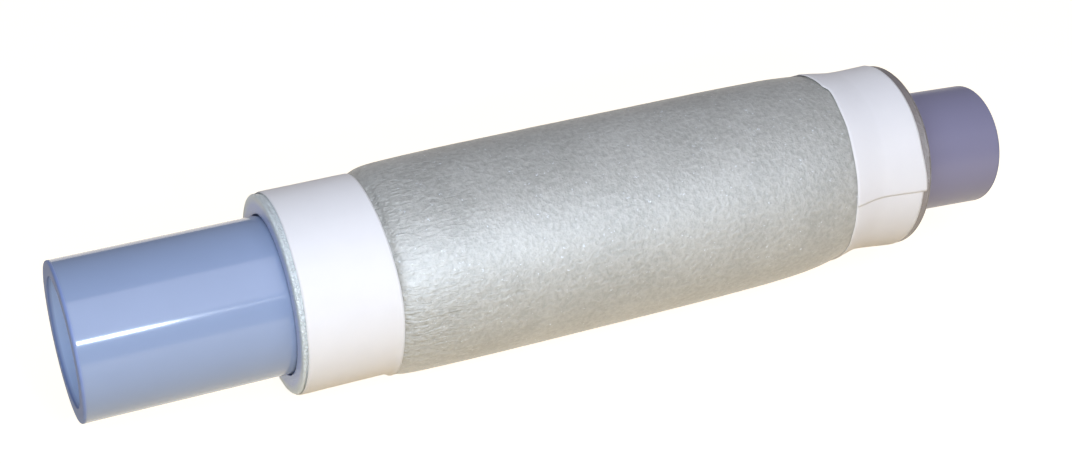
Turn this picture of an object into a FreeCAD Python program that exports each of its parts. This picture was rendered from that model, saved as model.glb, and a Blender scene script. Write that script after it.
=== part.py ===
"""Insulated condensate drain adapter: a large and a small drain pipe, joined by a soft reducing hose.

The hose is covered by a tube of closed-cell foam, bound at both ends with white tape.
The large pipe's axis is +X, and the origin is the centre of that pipe's free end.
The small pipe points slightly down, because the soft hose lets it.
"""
import FreeCAD, Part
import Sketcher
import math
import os

Vector = FreeCAD.Vector
Rotation = FreeCAD.Rotation
Placement = FreeCAD.Placement

X_AXIS = Vector(1, 0, 0)
Y_AXIS = Vector(0, 1, 0)
QUARTER_TURN = 90
SHEET = "Sizes"

# Driving sizes in millimetres and degrees: the cell's word, its value and what it measures.
SIZES = (
    ("large_outer", 32.0, "outside diameter of the large pipe"),
    ("large_wall", 3.1, "wall of the large pipe"),
    ("large_exposed", 41.4, "length of large pipe outside the foam"),
    ("large_inserted", 45.0, "length of large pipe inside the hose"),
    ("large_end_chamfer", 0.4, "chamfer of the large pipe's cut end"),
    ("small_outer", 26.0, "outside diameter of the small pipe"),
    ("small_wall", 2.7, "wall of the small pipe"),
    ("small_exposed", 22.4, "length of small pipe outside the foam"),
    ("small_inserted", 20.0, "length of small pipe inside the hose cuff"),
    ("small_end_chamfer", 0.7, "chamfer of the small pipe's cut end"),
    ("small_tilt", 3.6, "degrees by which the small pipe points down"),
    ("foam_end_rise", 0.3, "how far the middle of the foam's small end lies above the large axis"),
    ("small_sag", 0.65, "how far the small pipe's axis passes below the middle of that end"),
    ("hose_wall", 1.4, "wall of the soft reducing hose"),
    ("hose_inlet_recess", 4.6, "depth of the hose's large end inside the foam"),
    ("hose_outlet_recess", 4.0, "depth of the hose's small end inside the foam"),
    ("hose_cone", 9.0, "length over which the hose narrows"),
    ("cuff_slack", 1.0, "room between the small pipe's inner end and the cone"),
    ("foam_length", 139.8, "length of the foam tube"),
    ("foam_wall", 4.5, "wall of the foam where nothing squeezes it"),
    ("foam_clearance", 0.1, "room between the foam's bore and the hose"),
    ("rest_flat_depth", 0.5, "how far the foam is pressed flat where the part lies on it"),
    ("foam_squeeze", 1.7, "how far the large tape presses the foam in"),
    ("shoulder_softness", 1.4, "length over which half of the squeeze is gone after the large tape"),
    ("neck_wall", 4.7, "wall of the foam at its waist on the small cuff"),
    ("waist_depth", 10.9, "distance of the foam's waist from its small end"),
    ("neck_softness", 8.5, "length past the waist over which half of the narrowing is gone"),
    ("flare", 0.5, "how far the foam springs out again at its small end"),
    ("outlet_flare", 0.7, "widening of the foam's bore past the small cuff"),
    ("tape_thickness", 0.2, "thickness of one layer of tape"),
    ("large_tape_width", 19.2, "width of the tape at the large end"),
    ("large_tape_margin", 0.7, "rim of foam left bare at the large end"),
    ("large_tape_skew", 3.0, "degrees by which that tape's outer edge leans"),
    ("small_tape_width", 16.9, "width of the tape at the small end"),
    ("small_tape_margin", 0.8, "rim of foam left bare at the small end"),
    ("lap_arc", 110.0, "degrees over which a tape lies on itself"),
    ("lap_shift", 0.8, "how far the second layer lies towards the tube's end"),
    ("large_lap_from", 330.0, "where the large tape's lap starts, from straight down towards +Y"),
    ("small_lap_from", 155.0, "where the small tape's lap starts, from straight down towards +Y"),
)

# The shoulder's cross-sections after the large tape, in lengths of its softness.
SHOULDER = (0.0, 0.6, 1.6, 3.4, 7.0, 16.0)
# The neck's cross-sections from its start to the waist, in lengths of its softness.
# The first are still square to the large pipe's axis, where the part lies. The others lean.
NECK_LENGTH = 7.6
NECK_SQUARE = (4.2, 3.0)
NECK_LEANING = (2.5, 1.8, 1.2, 0.6, 0.0)
# The foam past its waist: share of the way to its small end, share of the flare.
SPRING = ((0.5, 0.6), (1.0, 1.0))
# How far past a form's end its cutting tool reaches, in millimetres.
OVERRUN = 2.0

doc = FreeCAD.newDocument("condensate_drain_adapter")


def make_sheet():
    """Write the driving sizes into a sheet, one named cell each."""
    sheet = doc.addObject("Spreadsheet::Sheet", SHEET)
    for row, (alias, value, meaning) in enumerate(SIZES, start=1):
        sheet.set(f"A{row}", meaning)
        sheet.set(f"B{row}", str(value))
        sheet.setAlias(f"B{row}", alias)
    doc.recompute()
    return sheet


def cell(alias):
    """Name a cell of the sheet as an expression does."""
    return f"{SHEET}.{alias}"


make_sheet()

# Places and radii that follow from the driving sizes.
FOAM_START = cell("large_exposed")
FOAM_END = f"({FOAM_START} + {cell('foam_length')})"
TILT = cell("small_tilt")
FOAM_END_RISE = cell("foam_end_rise")
PIPE_RISE = f"({FOAM_END_RISE} - {cell('small_sag')})"
HOSE_START = f"({FOAM_START} + {cell('hose_inlet_recess')})"
HOSE_LARGE_RADIUS = f"({cell('large_outer')} / 2 + {cell('hose_wall')})"
HOSE_SMALL_RADIUS = f"({cell('small_outer')} / 2 + {cell('hose_wall')})"
CUFF_DEPTH = f"({cell('hose_outlet_recess')} + {cell('small_inserted')} + {cell('cuff_slack')})"
CONE_START = f"({FOAM_END} - {CUFF_DEPTH} - {cell('hose_cone')})"
BORE_LARGE_RADIUS = f"({HOSE_LARGE_RADIUS} + {cell('foam_clearance')})"
BORE_SMALL_RADIUS = f"({HOSE_SMALL_RADIUS} + {cell('foam_clearance')})"
BULGE_RADIUS = f"({BORE_LARGE_RADIUS} + {cell('foam_wall')})"
BAND_RADIUS = f"({BULGE_RADIUS} - {cell('foam_squeeze')})"
WAIST_RADIUS = f"({BORE_SMALL_RADIUS} + {cell('neck_wall')})"
LARGE_TAPE_START = f"({FOAM_START} + {cell('large_tape_margin')})"
LARGE_TAPE_END = f"({LARGE_TAPE_START} + {cell('large_tape_width')})"
SMALL_TAPE_START_DEPTH = f"({cell('small_tape_margin')} + {cell('small_tape_width')})"
WAIST = f"({FOAM_END} - {cell('waist_depth')})"
NECK_START = f"({WAIST} - {NECK_LENGTH} * {cell('neck_softness')})"


def straight_station(x, radius):
    """Give a cross-section on the large pipe's axis: its place, rise, lean and radius."""
    return (x, "0", "0", radius)


def leaning_station(x, share, radius):
    """Give a cross-section whose centre and lean go by a share towards the foam's small end."""
    rise = f"{share} * ({FOAM_END_RISE} + ({FOAM_END} - {x}) * tan({TILT}))"
    return (x, rise, f"{share} * {TILT}", radius)


def small_axis_station(depth, radius):
    """Give a cross-section square to the small pipe's axis, at a depth from the foam's end."""
    x = f"({FOAM_END} - {depth} * cos({TILT}))"
    return (x, f"({PIPE_RISE} + {depth} * sin({TILT}))", TILT, radius)


def foam_end_station(depth, radius):
    """Give a cross-section of the foam's small end, at a depth from it; the pipe sags inside."""
    x, rise, lean, _ = small_axis_station(depth, radius)
    return (x, f"({rise} + {cell('small_sag')})", lean, radius)


def place_on_axis(item, x, rise, lean):
    """Bind an object's Placement so that its own Z axis points along +X, turned down by a lean."""
    item.Placement = Placement(Vector(0, 0, 0), Rotation(Y_AXIS, QUARTER_TURN))
    item.setExpression("Placement.Base.x", x)
    item.setExpression("Placement.Base.z", rise)
    item.setExpression("Placement.Rotation.Angle", f"{QUARTER_TURN} + {lean}")


def make_form(name, stations):
    """Make a closed solid through round cross-sections, with straight sides between them."""
    circles = []
    for number, (x, rise, lean, radius) in enumerate(stations, start=1):
        circle = doc.addObject("Part::Circle", f"{name}_section_{number}")
        circle.setExpression("Radius", radius)
        place_on_axis(circle, x, rise, lean)
        circles.append(circle)
    form = doc.addObject("Part::Loft", name)
    form.Sections = circles
    form.Solid = True
    form.Ruled = True
    return form


def make_cut(name, base, tool):
    """Take one solid away from another."""
    cut = doc.addObject("Part::Cut", name)
    cut.Base = base
    cut.Tool = tool
    return cut


def make_common(name, shapes):
    """Keep what several solids share."""
    common = doc.addObject("Part::MultiCommon", name)
    common.Shapes = shapes
    return common


def origin_plane(body, role):
    """Find one of a body's own origin planes by its role."""
    return next(plane for plane in body.Origin.OriginFeatures if plane.Role == role)


def ring_edges(shape, radius, x):
    """Name the round edges of one radius that lie at one place along a body's X axis."""
    names = []
    for number, edge in enumerate(shape.Edges, start=1):
        round_edge = isinstance(edge.Curve, Part.Circle)
        if round_edge and math.isclose(edge.Curve.Radius, radius) and math.isclose(
                edge.Curve.Center.x, x, abs_tol=1e-6):
            names.append(f"Edge{number}")
    return names


def make_pipe(label, outer, wall, length, chamfer, far_end_is_free):
    """Make a plain pipe along its body's +X, with a chamfer round its free end."""
    body = doc.addObject("PartDesign::Body", label)
    body.Label = label
    section = body.newObject("Sketcher::SketchObject", f"{label}_section")
    section.AttachmentSupport = [(origin_plane(body, "YZ_Plane"), "")]
    section.MapMode = "FlatFace"
    radii = (("outside", f"{outer} / 2"), ("inside", f"{outer} / 2 - {wall}"))
    for number, (side, radius) in enumerate(radii):
        start_radius = 2 - number
        section.addGeometry(Part.Circle(Vector(0, 0, 0), Vector(0, 0, 1), start_radius), False)
        section.addConstraint(Sketcher.Constraint("Coincident", number, 3, -1, 1))
        constraint = section.addConstraint(Sketcher.Constraint("Radius", number, start_radius))
        section.renameConstraint(constraint, side)
        section.setExpression(f"Constraints.{side}", radius)
    tube = body.newObject("PartDesign::Pad", f"{label}_tube")
    tube.Profile = section
    tube.setExpression("Length", length)
    doc.recompute()
    free_x = tube.Length.Value if far_end_is_free else 0
    free_end = body.newObject("PartDesign::Chamfer", f"{label}_free_end")
    free_end.Base = (tube, ring_edges(tube.Shape, section.getDatum("outside").Value, free_x))
    free_end.setExpression("Size", f"min({chamfer}; {wall} / 3)")
    return body


def make_large_pipe():
    """Make the large pipe, from its free end at the origin to its end inside the hose."""
    length = f"{cell('large_exposed')} + {cell('hose_inlet_recess')} + {cell('large_inserted')}"
    return make_pipe(
        "large_pipe", cell("large_outer"), cell("large_wall"), length,
        cell("large_end_chamfer"), False)


def make_small_pipe():
    """Make the small pipe on its own leaning axis, from inside the cuff to its free end."""
    inside = f"({cell('hose_outlet_recess')} + {cell('small_inserted')})"
    body = make_pipe(
        "small_pipe", cell("small_outer"), cell("small_wall"),
        f"{inside} + {cell('small_exposed')}", cell("small_end_chamfer"), True)
    body.Placement = Placement(Vector(0, 0, 0), Rotation(Y_AXIS, 1))
    body.setExpression("Placement.Base.x", f"{FOAM_END} - {inside} * cos({TILT})")
    body.setExpression("Placement.Base.z", f"{PIPE_RISE} + {inside} * sin({TILT})")
    body.setExpression("Placement.Rotation.Angle", TILT)
    return body


def hose_stations(large_radius, small_radius, overrun):
    """Give the hose's corners: a straight tube, a cone and a leaning cuff."""
    return [
        straight_station(f"{HOSE_START} - {overrun}", large_radius),
        straight_station(CONE_START, large_radius),
        small_axis_station(f"({CUFF_DEPTH})", small_radius),
        small_axis_station(f"({cell('hose_outlet_recess')} - {overrun})", small_radius),
    ]


def make_reducing_hose():
    """Make the soft hose that holds both pipes and narrows between them."""
    outside = make_form("hose_outside", hose_stations(HOSE_LARGE_RADIUS, HOSE_SMALL_RADIUS, 0))
    bore = make_form(
        "hose_bore",
        hose_stations(f"{cell('large_outer')} / 2", f"{cell('small_outer')} / 2", OVERRUN))
    hose = make_cut("reducing_hose", outside, bore)
    return hose


def make_outline(name, skin):
    """Make the foam's outside, grown by a skin: band, shoulder, bulge, neck, waist and flare."""
    band = f"({BAND_RADIUS} + {skin})"
    bulge = f"({BULGE_RADIUS} + {skin})"
    waist = f"({WAIST_RADIUS} + {skin})"
    stations = [straight_station(FOAM_START, band)]
    for lengths in SHOULDER:
        x = f"({LARGE_TAPE_END} + {lengths} * {cell('shoulder_softness')})"
        share_gone = f"{lengths} / ({lengths} + 1)"
        stations.append(straight_station(x, f"({band} + {share_gone} * {cell('foam_squeeze')})"))
    stations.append(straight_station(NECK_START, bulge))
    for lengths in NECK_SQUARE + NECK_LEANING:
        x = f"({WAIST} - {lengths} * {cell('neck_softness')})"
        share = f"(1 / (1 + {lengths} * {lengths}))"
        radius = f"({bulge} + {share} * ({waist} - {bulge}))"
        if lengths in NECK_SQUARE:
            stations.append(straight_station(x, radius))
        else:
            stations.append(leaning_station(x, share, radius))
    for way, share in SPRING:
        depth = f"({cell('waist_depth')} * (1 - {way}))"
        stations.append(foam_end_station(depth, f"({waist} + {share} * {cell('flare')})"))
    return make_form(name, stations)


def make_foam_bore():
    """Make the space inside the foam: it follows the hose and widens past the small cuff."""
    widening = f"{cell('outlet_flare')} * (1 + {OVERRUN} / {cell('hose_outlet_recess')})"
    return make_form("foam_bore", [
        straight_station(f"({FOAM_START} - {OVERRUN})", BORE_LARGE_RADIUS),
        straight_station(CONE_START, BORE_LARGE_RADIUS),
        small_axis_station(f"({CUFF_DEPTH})", BORE_SMALL_RADIUS),
        small_axis_station(cell("hose_outlet_recess"), BORE_SMALL_RADIUS),
        small_axis_station(f"(-{OVERRUN})", f"({BORE_SMALL_RADIUS} + {widening})"),
    ])


def make_rest_block():
    """Make the block under the foam that leaves the small flat on which the soft tube lies."""
    block = doc.addObject("Part::Box", "rest_block")
    block.setExpression("Length", cell("foam_length"))
    block.setExpression("Width", f"2 * {BULGE_RADIUS}")
    block.setExpression("Height", BULGE_RADIUS)
    block.setExpression("Placement.Base.x", FOAM_START)
    block.setExpression("Placement.Base.y", f"-{BULGE_RADIUS}")
    block.setExpression("Placement.Base.z", f"{cell('rest_flat_depth')} - 2 * {BULGE_RADIUS}")
    return block


def make_edge_block(name, station, backwards):
    """Make a wide round block whose flat end cuts a tape's edge; the block lies ahead or behind."""
    x, rise, lean, _ = station
    block = doc.addObject("Part::Cylinder", name)
    block.setExpression("Radius", f"2 * {BULGE_RADIUS}")
    block.setExpression("Height", cell("foam_length"))
    reach = f"({cell('foam_length')} * {1 if backwards else 0})"
    place_on_axis(
        block, f"{x} - {reach} * cos({lean})", f"{rise} + {reach} * sin({lean})", lean)
    return block


def make_lap_wedge(name, from_angle):
    """Make the sector that a tape's second layer covers, counted from straight down towards +Y."""
    wedge = doc.addObject("Part::Cylinder", name)
    wedge.setExpression("Radius", f"2 * {BULGE_RADIUS}")
    wedge.setExpression("Height", f"{FOAM_END} + {cell('foam_length')}")
    wedge.setExpression("Angle", cell("lap_arc"))
    turned = Rotation(X_AXIS, from_angle).multiply(Rotation(Y_AXIS, QUARTER_TURN))
    wedge.Placement = Placement(Vector(0, 0, 0), turned)
    return wedge


def make_tape(label, layers, near_edge, far_edge, lap_near, lap_far, wedge):
    """Make one tape: a layer all round the foam, and a second layer over the lap."""
    first_layer = make_common(f"{label}_round", [
        layers[0],
        make_edge_block(f"{label}_near_block", near_edge, False),
        make_edge_block(f"{label}_far_block", far_edge, True)])
    second_layer = make_common(f"{label}_lap", [
        layers[1],
        make_edge_block(f"{label}_lap_near_block", lap_near, False),
        make_edge_block(f"{label}_lap_far_block", lap_far, True),
        wedge])
    tape = doc.addObject("Part::Fuse", label)
    tape.Base = first_layer
    tape.Tool = second_layer
    tape.Label = label
    return tape


def make_insulation():
    """Make the foam tube and the two tapes, which all follow one outline."""
    outline = make_outline("foam_outline", "0")
    lying = make_cut("foam_lying", outline, make_rest_block())
    foam = make_cut("foam_sleeve", lying, make_foam_bore())
    layers = []
    for number in (1, 2):
        grown = make_outline(f"tape_outline_{number}", f"{number} * {cell('tape_thickness')}")
        layers.append(make_cut(f"tape_layer_{number}", grown, outline))
    sheet = doc.getObject(SHEET)
    large_start = (LARGE_TAPE_START, "0", cell("large_tape_skew"), None)
    large_tape = make_tape(
        "large_end_tape", layers,
        large_start, (LARGE_TAPE_END, "0", "0", None),
        large_start, (f"({LARGE_TAPE_END} - {cell('lap_shift')})", "0", "0", None),
        make_lap_wedge("large_lap_wedge", sheet.large_lap_from))
    small_start = small_axis_station(SMALL_TAPE_START_DEPTH, None)
    small_tape = make_tape(
        "small_end_tape", layers,
        small_start, small_axis_station(f"({cell('small_tape_margin')} + {cell('lap_shift')})", None),
        small_start, small_axis_station(cell("small_tape_margin"), None),
        make_lap_wedge("small_lap_wedge", sheet.small_lap_from))
    return [foam, large_tape, small_tape]


def check_document(pieces):
    """Stop if any object failed to compute or any piece isn't a sound solid."""
    for item in doc.Objects:
        if "Invalid" in item.State or "Error" in item.State:
            raise RuntimeError(f"{item.Name} did not compute: {item.State}")
    for piece in pieces:
        if piece.Shape.isNull() or not piece.Shape.isValid() or not piece.Shape.Solids:
            raise RuntimeError(f"{piece.Label} is not a sound solid")


def write_pieces(pieces):
    """Write each piece to a file of its own name."""
    os.makedirs("parts", exist_ok=True)
    for piece in pieces:
        piece.Shape.exportStep(f"parts/{piece.Label}.step")
        box = piece.Shape.BoundBox
        print(f"{piece.Label}: {len(piece.Shape.Solids)} solid, {piece.Shape.Volume:.0f} mm3, "
              f"x {box.XMin:.1f} to {box.XMax:.1f}, z {box.ZMin:.1f} to {box.ZMax:.1f}")


pieces = [make_large_pipe(), make_small_pipe(), make_reducing_hose()] + make_insulation()
doc.recompute()
check_document(pieces)
write_pieces(pieces)
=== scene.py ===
"""The looks of an insulated condensate drain adapter, dressed over its solids.

Everything is in metres, in the frame of the solids: the large pipe's axis is +X, +Z is up, and the part lies
on its foam sleeve. Sizes are written in millimetres and turned to metres where a mesh is made.
"""

import logging
import math
from dataclasses import dataclass, field, replace
from enum import Enum
from typing import Any, Optional

import bmesh
import bpy
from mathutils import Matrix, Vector, noise


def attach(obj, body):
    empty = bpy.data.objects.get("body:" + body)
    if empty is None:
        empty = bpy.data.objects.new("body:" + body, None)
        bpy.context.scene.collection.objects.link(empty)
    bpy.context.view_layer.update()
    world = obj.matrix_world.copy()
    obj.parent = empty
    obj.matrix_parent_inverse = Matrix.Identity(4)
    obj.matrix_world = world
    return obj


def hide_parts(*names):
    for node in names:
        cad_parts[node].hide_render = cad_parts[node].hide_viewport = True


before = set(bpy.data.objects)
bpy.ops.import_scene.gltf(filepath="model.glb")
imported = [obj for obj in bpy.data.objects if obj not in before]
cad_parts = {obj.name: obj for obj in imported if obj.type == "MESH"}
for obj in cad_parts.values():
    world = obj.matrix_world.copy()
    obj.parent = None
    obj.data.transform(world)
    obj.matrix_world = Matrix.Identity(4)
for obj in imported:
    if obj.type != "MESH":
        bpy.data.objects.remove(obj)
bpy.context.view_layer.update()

Tree = bpy.types.NodeTree
Socket = bpy.types.NodeSocket

log = logging.getLogger("condensate_drain_adapter")

MM = 0.001
BODY = "root"
CUT_ATTRIBUTE = "cut"
LEAN_ATTRIBUTE = "lean"
DOUBLES_WITHIN = 1e-7


class Surface(Enum):
    """What a stretch of a piece's cross-section is, as the shaders read it from the "cut" attribute."""

    SKIN = 0.0
    CUT = 1.0


def srgb(code: str, brighter: float = 1.0) -> tuple[float, float, float, float]:
    """Turn an sRGB hex colour into linear values.

    Args:
        code: a # and six hex digits
        brighter: what its linear values are multiplied by, up to white

    Returns:
        Linear red, green and blue, and an alpha of 1.
    """
    shares = [int(code[at:at + 2], 16) / 255 for at in (1, 3, 5)]
    linear = [share / 12.92 if share <= 0.04045 else ((share + 0.055) / 1.055) ** 2.4 for share in shares]
    red, green, blue = (min(part * brighter, 1.0) for part in linear)
    return (red, green, blue, 1.0)


def smooth_step(low: float, high: float, value: float) -> float:
    """Go softly from 0 at low to 1 at high.

    Args:
        low: where the step starts
        high: where the step ends
        value: the place on the way

    Returns:
        The share from 0 to 1.
    """
    share = min(max((value - low) / (high - low), 0.0), 1.0)
    return share * share * (3 - 2 * share)


def add_node(tree: Tree, kind: str, inputs: Optional[dict[Any, Any]] = None, **settings: Any) -> Any:
    """Add a node, set its properties, and link or set its inputs.

    Args:
        tree: the tree that gets the node
        kind: the node's type
        inputs: a socket to link from, or a value, for each input by its name or number
        settings: the node's own properties

    Returns:
        The new node's outputs, read by name or number.
    """
    node = tree.nodes.new(kind)
    for name, value in settings.items():
        setattr(node, name, value)
    for key, value in (inputs or {}).items():
        if isinstance(value, Socket):
            tree.links.new(value, node.inputs[key])
        else:
            node.inputs[key].default_value = value
    return node.outputs


def distance_from_axis(tree: Tree, parts: Any) -> Socket:
    """Work out how far a point lies from the X axis.

    Args:
        tree: the material's node tree
        parts: the sockets with the point's X, Y and Z

    Returns:
        The socket with the distance.
    """
    squared = add_node(tree, "ShaderNodeMath", {0: parts["Y"], 1: parts["Y"]}, operation="MULTIPLY")[0]
    summed = add_node(tree, "ShaderNodeMath", {
        0: parts["Z"], 1: parts["Z"], 2: squared}, operation="MULTIPLY_ADD")[0]
    return add_node(tree, "ShaderNodeMath", {0: summed}, operation="SQRT")[0]


# The line that everything follows


@dataclass(frozen=True)
class Station:
    """One round cross-section: its centre, its lean and its radius, in millimetres and degrees.

    Attributes:
        x: place along +X
        rise: height of its centre
        lean: degrees by which it is turned towards the small pipe's axis
        radius: its radius
        surface: whether it is skin or a cut face
    """

    x: float
    rise: float
    lean: float
    radius: float
    surface: Surface = Surface.SKIN

    def point(self, angle: float, lift: float = 0.0) -> Vector:
        """Give a point of the cross-section, in metres.

        Args:
            angle: degrees from straight down towards +Y
            lift: millimetres outside the radius

        Returns:
            The point.
        """
        turn, tilt = math.radians(angle), math.radians(self.lean)
        reach = self.radius + lift
        return Vector((
            self.x - reach * math.cos(turn) * math.sin(tilt),
            reach * math.sin(turn),
            self.rise - reach * math.cos(turn) * math.cos(tilt))) * MM


@dataclass(frozen=True)
class FoamOutline:
    """The outline of the foam sleeve: band, shoulder, bulge, neck, waist and flared end, in millimetres.

    Attributes:
        start: where the foam starts along +X
        end: where it ends
        tilt: degrees by which the small pipe points down
        end_rise: how far the middle of the small end lies above the large pipe's axis
        sag: how far the small pipe's axis passes below the middle of that end
        band: radius that the large tape squeezes it to
        band_end: where that tape ends
        bulge: radius where nothing squeezes it
        softness: length over which half of the squeeze is gone
        shoulder_lean: degrees by which the shoulder leans, so that it starts sooner below than above
        waist: radius on the small cuff
        waist_depth: how far the waist lies from the small end
        band_straight: length of band that doesn't lean yet
        leaning_ends: length after the band over which the shoulder's lean is gone
        narrowing_starts: length after the band over which the narrowing sets in
        neck_softness: length over which half of the narrowing is gone
        flare: how far it springs out at the small end
        lying_height: height of the axis over what the part lies on
    """

    start: float = 41.4
    end: float = 181.2
    tilt: float = 3.6
    end_rise: float = 0.3
    sag: float = 0.65
    band: float = 20.3
    band_end: float = 61.3
    bulge: float = 22.0
    softness: float = 1.5
    shoulder_lean: float = 2.0
    waist: float = 19.2
    waist_depth: float = 10.9
    band_straight: float = 4.0
    leaning_ends: float = 20.0
    narrowing_starts: float = 30.0
    neck_softness: float = 8.5
    flare: float = 0.5
    lying_height: float = 21.5

    @property
    def crossing(self) -> float:
        """Where along +X the small pipe's axis crosses the large pipe's."""
        return self.end + (self.end_rise - self.sag) / math.tan(math.radians(self.tilt))

    def on_small_axis(self, depth: float, radius: float, surface: Surface = Surface.SKIN) -> Station:
        """Give a cross-section square to the small pipe's axis.

        Args:
            depth: how far inside the foam's small end
            radius: its radius
            surface: skin or cut

        Returns:
            The cross-section.
        """
        tilt = math.radians(self.tilt)
        return Station(
            self.end - depth * math.cos(tilt), self.end_rise - self.sag + depth * math.sin(tilt), self.tilt,
            radius, surface)

    def on_foam_end(self, depth: float, radius: float, surface: Surface = Surface.SKIN) -> Station:
        """Give a cross-section of the foam's small end, in which the pipe sags.

        Args:
            depth: how far inside the foam's small end
            radius: its radius
            surface: skin or cut

        Returns:
            The cross-section.
        """
        return replace(self.on_small_axis(depth, radius, surface),
                       rise=self.end_rise + depth * math.sin(math.radians(self.tilt)))

    def at(self, x: float) -> Station:
        """Give the outline's cross-section at a place along +X.

        Args:
            x: the place, in millimetres

        Returns:
            The cross-section.
        """
        waist_x = self.end - self.waist_depth
        if x <= self.band_end:
            leaning = smooth_step(self.start + self.band_straight, self.band_end, x)
            return Station(x, 0.0, leaning * self.shoulder_lean, self.band)
        if x <= waist_x:
            past = (x - self.band_end) / self.softness
            before = (waist_x - x) / self.neck_softness
            share = 1 / (1 + before * before)
            fading = share * smooth_step(self.band_end, self.band_end + self.narrowing_starts, x)
            squeeze = (self.bulge - self.band) / (past + 1)
            rise = self.end_rise + (self.end - x) * math.tan(math.radians(self.tilt))
            leaning = 1 - smooth_step(self.band_end, self.band_end + self.leaning_ends, x)
            return Station(
                x, fading * rise, fading * self.tilt + leaning * self.shoulder_lean,
                self.bulge - squeeze - fading * (self.bulge - self.waist))
        depth = (self.end - x) / math.cos(math.radians(self.tilt))
        spring = smooth_step(0.0, 1.0, 1 - max(depth, 0.0) / self.waist_depth)
        return self.on_foam_end(depth, self.waist + spring * self.flare)


OUTLINE = FoamOutline()


# Finishes

# A Mix node's sockets by number, because several of them share a name.
COLOUR_A, COLOUR_B, MIXED_COLOUR, NUMBER_A, NUMBER_B, MIXED_NUMBER = 6, 7, 2, 2, 3, 0


@dataclass(frozen=True)
class Finish:
    """A finish of the real thing: its name and the values that every shader here shares.

    Attributes:
        name: what the real finish is
        colour: its main colour, sRGB hex
        roughness: how matte it is
        ior: its index of refraction
    """

    name: str
    colour: str
    roughness: float
    ior: float

    def start(self) -> tuple[bpy.types.Material, Tree, bpy.types.Node]:
        """Make the material with a plain shader.

        Returns:
            The material, its node tree and its shader node.
        """
        material = bpy.data.materials.new(self.name)
        material.use_nodes = True
        tree = material.node_tree
        shader = tree.nodes["Principled BSDF"]
        shader.inputs["Base Color"].default_value = srgb(self.colour)
        shader.inputs["Roughness"].default_value = self.roughness
        shader.inputs["IOR"].default_value = self.ior
        return material, tree, shader


@dataclass(frozen=True)
class RigidPvc(Finish):
    """Extruded rigid PVC: even pale grey-blue all through, glossy outside, with faint draw lines along it.

    Attributes:
        sawn_colour: its sawn end, a little darker than the skin, sRGB hex
        painted_bore_colour: painted light and shade of the inside, which stand in for the light that bounces
            from wall to wall in the bore, sRGB hex
        bore_radius: radius of the bore in millimetres
        bore_fade: how far outside that radius the painted bore colour is still full, and gone, in millimetres
        pointing_down: degrees by which the pipe's axis leans from +X
        crossing: where along +X the pipe's axis crosses the large pipe's axis, in millimetres
        sawn_roughness: how matte the sawn end is
        cloud: how wide the compound's faint clouds are, in millimetres
        cloud_brighter: how much brighter they are than the rest
        line: how far apart the die's draw lines lie round the pipe, in millimetres
        line_stretch: the lines' fineness along the pipe, next to that round it
        line_depth: how deep they are, in millimetres
    """

    sawn_colour: str
    painted_bore_colour: str
    bore_radius: float
    bore_fade: tuple[float, float] = (0.05, 0.35)
    pointing_down: float = 0.0
    crossing: float = 0.0
    sawn_roughness: float = 0.6
    cloud: float = 9.0
    cloud_brighter: float = 1.06
    line: float = 1.0
    line_stretch: float = 0.004
    line_depth: float = 0.0015

    def build(self) -> bpy.types.Material:
        """Make the material.

        Returns:
            The material.
        """
        material, tree, shader = self.start()
        place = add_node(tree, "ShaderNodeTexCoord")["Object"]
        sawn = add_node(tree, "ShaderNodeAttribute", attribute_name=CUT_ATTRIBUTE)["Fac"]
        # The pattern's own axis: the pipe's, turned back to +X about the point where the axes cross.
        along = add_node(tree, "ShaderNodeMapping", {
            "Vector": place, "Location": (self.crossing * MM, 0.0, 0.0),
            "Rotation": (0.0, math.radians(self.pointing_down), 0.0)}, vector_type="TEXTURE")["Vector"]
        parts = add_node(tree, "ShaderNodeSeparateXYZ", {"Vector": along})
        full, gone = self.bore_fade
        inside = add_node(tree, "ShaderNodeMapRange", {
            "Value": distance_from_axis(tree, parts), "From Min": (self.bore_radius + gone) * MM,
            "From Max": (self.bore_radius + full) * MM, "To Min": 0.0, "To Max": 1.0})[0]
        # Faint cloudiness of the compound, then the bore's painted light and shade, then the sawn end, which is
        # matte as well.
        cloud = add_node(tree, "ShaderNodeTexNoise", {
            "Vector": along, "Scale": 1 / (self.cloud * MM), "Detail": 2.0})["Fac"]
        colour = add_node(tree, "ShaderNodeMix", {
            "Factor": cloud, COLOUR_A: srgb(self.colour), COLOUR_B: srgb(self.colour, self.cloud_brighter)},
            data_type="RGBA")[MIXED_COLOUR]
        for share, laid_over in ((inside, self.painted_bore_colour), (sawn, self.sawn_colour)):
            colour = add_node(tree, "ShaderNodeMix", {
                "Factor": share, COLOUR_A: colour, COLOUR_B: srgb(laid_over)}, data_type="RGBA")[MIXED_COLOUR]
        tree.links.new(colour, shader.inputs["Base Color"])
        gloss = add_node(tree, "ShaderNodeMapRange", {
            "Value": sawn, "To Min": self.roughness, "To Max": self.sawn_roughness})[0]
        tree.links.new(gloss, shader.inputs["Roughness"])
        # Draw lines from the die: as long as the pipe and a micron or two deep.
        stretched = add_node(tree, "ShaderNodeMapping", {
            "Vector": along, "Scale": (self.line_stretch, 1.0, 1.0)})["Vector"]
        lines = add_node(tree, "ShaderNodeTexNoise", {
            "Vector": stretched, "Scale": 1 / (self.line * MM), "Detail": 2.0})["Fac"]
        relief = add_node(tree, "ShaderNodeBump", {"Height": lines, "Distance": self.line_depth * MM})
        tree.links.new(relief["Normal"], shader.inputs["Normal"])
        return material


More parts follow.
